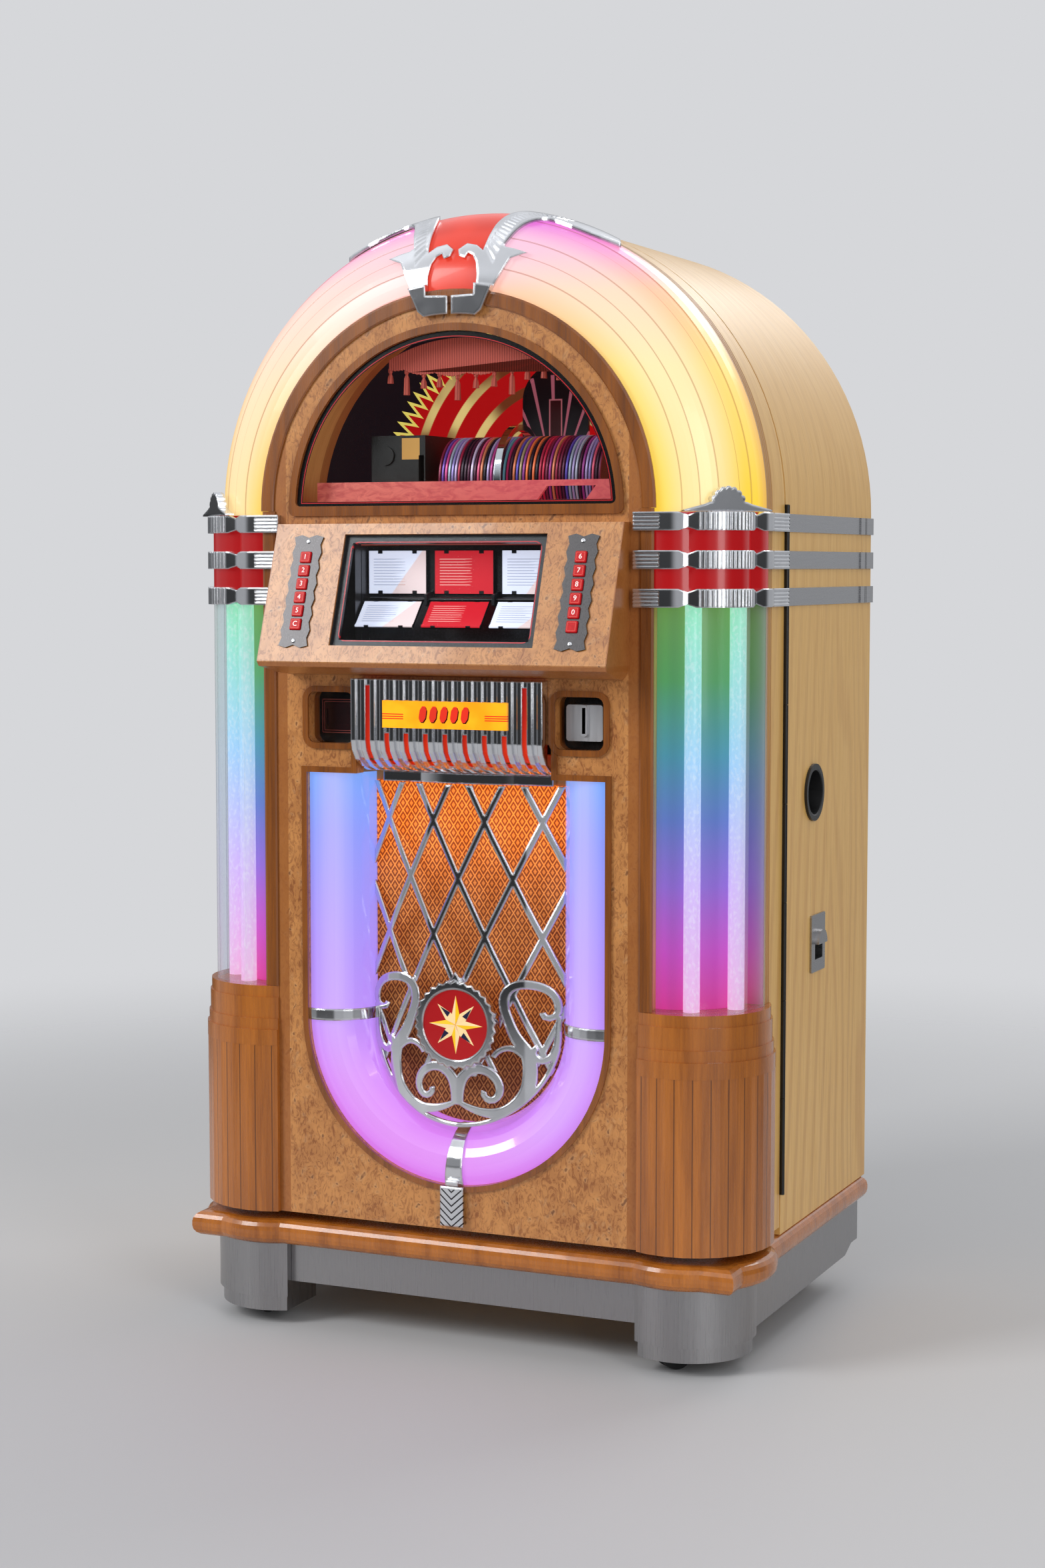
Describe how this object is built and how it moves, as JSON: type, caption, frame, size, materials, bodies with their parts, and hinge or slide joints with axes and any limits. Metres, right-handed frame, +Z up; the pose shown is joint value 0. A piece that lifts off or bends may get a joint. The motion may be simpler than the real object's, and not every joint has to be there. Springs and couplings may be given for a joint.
{
  "type": "cd jukebox",
  "caption": "Free-standing arch-topped disc jukebox: veneered cabinet, hinged lit door with sloping title console and keys, chrome-banded columns, bowed grille, disc mechanism and castors.",
  "frame": {"origin": "centre of the bounding box at floor level, where the castor wheels stand", "axes": "+Z up, the door and title console face -Y, +X to the viewer's right where the hinge is"},
  "size_m": [0.852, 0.678, 1.5414],
  "materials": {
    "oak_veneer": "satin lacquered pale oak veneer",
    "black_board": "matt black board",
    "black_steel": "satin black paint",
    "turned_wood": "gloss honey-brown lacquer",
    "steel": "brushed",
    "chrome": "polished chrome plate",
    "maple_veneer": "gloss bird's-eye maple veneer",
    "backdrop_red": "printed panel",
    "disc_mirror": "mirror-bright disc",
    "player_black": "gloss black",
    "tread_rubber": "matt",
    "brown_wood": "gloss brown lacquer",
    "pane_glass": "clear",
    "arch_plastic": "lit translucent, shaded from yellow to magenta",
    "display_red": "dark red display window",
    "red_plastic": "lit translucent red",
    "clear_plastic": "clear ribbed plastic",
    "lamp_plastic": "lit translucent",
    "console_black": "satin black moulding",
    "title_white": "lit opal panel",
    "orange_panel": "lit orange panel",
    "tube_plastic": "lit translucent, shaded",
    "grille_fabric": "woven",
    "speaker_black": "paper cone and steel basket",
    "key_red": "gloss"
  },
  "bodies": {
    "cabinet": {"cabinet_shell": "oak_veneer", "rear_panel": "black_board", "power_inlet": "black_board", "base_frame": "black_steel", "plinth_moulding": "turned_wood", "plinth_cladding": "steel", "side_bands": "chrome", "carry_cups": "black_steel", "coin_return_cup": "steel", "cabinet_hinge_leaf": "black_steel", "mechanism_deck": "maple_veneer", "backdrop_panel": "backdrop_red", "disc_magazine": "black_steel", "compact_discs": "disc_mirror", "disc_player": "player_black", "amplifier_chassis": "black_steel"},
    "door": {"door_hinge_leaf": "black_steel", "door_frame": "oak_veneer", "facia_panel": "maple_veneer", "facia_mouldings": "brown_wood", "door_glazing": "pane_glass", "arch_plastics": "arch_plastic", "crest_castings": "chrome", "band_castings": "chrome", "red_plastics": "red_plastic", "credit_display": "display_red", "column_covers": "clear_plastic", "column_lamps": "lamp_plastic", "pilaster_bases": "turned_wood", "console_box": "maple_veneer", "title_rack": "console_black", "keypad_plates": "steel", "waterfall_casting": "chrome", "name_panel": "orange_panel", "coin_entry": "steel", "u_tube": "tube_plastic", "grille_lattice": "chrome", "grille_cloth": "grille_fabric", "scroll_castings": "chrome", "loudspeaker": "speaker_black"},
    "title_leaves": {"title_leaves": "title_white"},
    "disc_carriage": {"disc_carriage": "steel"},
    "gripper_arm": {"gripper_arm": "steel"},
    "rear_wheels": {"rear_wheels": "tread_rubber"},
    "front_left_fork": {"front_left_fork": "steel"},
    "front_left_wheel": {"front_left_wheel": "tread_rubber"},
    "front_right_fork": {"front_right_fork": "steel"},
    "front_right_wheel": {"front_right_wheel": "tread_rubber"},
    "key_1": {"key_1": "key_red"},
    "key_2": {"key_2": "key_red"},
    "key_3": {"key_3": "key_red"},
    "key_4": {"key_4": "key_red"},
    "key_5": {"key_5": "key_red"},
    "key_cancel": {"key_cancel": "key_red"},
    "key_6": {"key_6": "key_red"},
    "key_7": {"key_7": "key_red"},
    "key_8": {"key_8": "key_red"},
    "key_9": {"key_9": "key_red"},
    "key_0": {"key_0": "key_red"},
    "key_blank": {"key_blank": "key_red"}
  },
  "joints": [
    {"name": "door_hinge", "type": "hinge", "parent": "cabinet", "child": "door", "pos_m": [0.4035, -0.063, 0.68], "axis": [0, 0, 1], "range_deg": [0, 100]},
    {"name": "title_flip", "type": "hinge", "parent": "door", "child": "title_leaves", "pos_m": [0, -0.231, 1.02], "axis": [-1, 0, 0], "range_deg": [0, 105]},
    {"name": "carriage_slide", "type": "slide", "parent": "cabinet", "child": "disc_carriage", "axis": [1, 0, 0], "range_m": [-0.108, 0.138]},
    {"name": "arm_lift", "type": "hinge", "parent": "disc_carriage", "child": "gripper_arm", "pos_m": [0.045, -0.068, 1.204], "axis": [-1, 0, 0], "range_deg": [0, 48]},
    {"name": "rear_axle", "type": "hinge", "parent": "cabinet", "child": "rear_wheels", "pos_m": [0, 0.277, 0.025], "axis": [1, 0, 0], "continuous": true},
    {"name": "front_left_swivel", "type": "hinge", "parent": "cabinet", "child": "front_left_fork", "pos_m": [-0.312, -0.2055, 0.07], "axis": [0, 0, 1], "continuous": true},
    {"name": "front_left_axle", "type": "hinge", "parent": "front_left_fork", "child": "front_left_wheel", "pos_m": [-0.31939, -0.19604, 0.025], "axis": [0.788, 0.6157, 0], "continuous": true},
    {"name": "front_right_swivel", "type": "hinge", "parent": "cabinet", "child": "front_right_fork", "pos_m": [0.312, -0.2055, 0.07], "axis": [0, 0, 1], "continuous": true},
    {"name": "front_right_axle", "type": "hinge", "parent": "front_right_fork", "child": "front_right_wheel", "pos_m": [0.30461, -0.21496, 0.025], "axis": [-0.788, 0.6157, 0], "continuous": true},
    {"name": "key_1_press", "type": "slide", "parent": "door", "child": "key_1", "axis": [0, 0.9476, -0.3193], "range_m": [0, 0.002], "stiffness_N_per_m": 300, "springref_m": -0.0005},
    {"name": "key_2_press", "type": "slide", "parent": "door", "child": "key_2", "axis": [0, 0.9476, -0.3193], "range_m": [0, 0.002], "stiffness_N_per_m": 300, "springref_m": -0.0005},
    {"name": "key_3_press", "type": "slide", "parent": "door", "child": "key_3", "axis": [0, 0.9476, -0.3193], "range_m": [0, 0.002], "stiffness_N_per_m": 300, "springref_m": -0.0005},
    {"name": "key_4_press", "type": "slide", "parent": "door", "child": "key_4", "axis": [0, 0.9476, -0.3193], "range_m": [0, 0.002], "stiffness_N_per_m": 300, "springref_m": -0.0005},
    {"name": "key_5_press", "type": "slide", "parent": "door", "child": "key_5", "axis": [0, 0.9476, -0.3193], "range_m": [0, 0.002], "stiffness_N_per_m": 300, "springref_m": -0.0005},
    {"name": "key_cancel_press", "type": "slide", "parent": "door", "child": "key_cancel", "axis": [0, 0.9476, -0.3193], "range_m": [0, 0.002], "stiffness_N_per_m": 300, "springref_m": -0.0005},
    {"name": "key_6_press", "type": "slide", "parent": "door", "child": "key_6", "axis": [0, 0.9476, -0.3193], "range_m": [0, 0.002], "stiffness_N_per_m": 300, "springref_m": -0.0005},
    {"name": "key_7_press", "type": "slide", "parent": "door", "child": "key_7", "axis": [0, 0.9476, -0.3193], "range_m": [0, 0.002], "stiffness_N_per_m": 300, "springref_m": -0.0005},
    {"name": "key_8_press", "type": "slide", "parent": "door", "child": "key_8", "axis": [0, 0.9476, -0.3193], "range_m": [0, 0.002], "stiffness_N_per_m": 300, "springref_m": -0.0005},
    {"name": "key_9_press", "type": "slide", "parent": "door", "child": "key_9", "axis": [0, 0.9476, -0.3193], "range_m": [0, 0.002], "stiffness_N_per_m": 300, "springref_m": -0.0005},
    {"name": "key_0_press", "type": "slide", "parent": "door", "child": "key_0", "axis": [0, 0.9476, -0.3193], "range_m": [0, 0.002], "stiffness_N_per_m": 300, "springref_m": -0.0005},
    {"name": "key_blank_press", "type": "slide", "parent": "door", "child": "key_blank", "axis": [0, 0.9476, -0.3193], "range_m": [0, 0.002], "stiffness_N_per_m": 300, "springref_m": -0.0005}
  ]
}
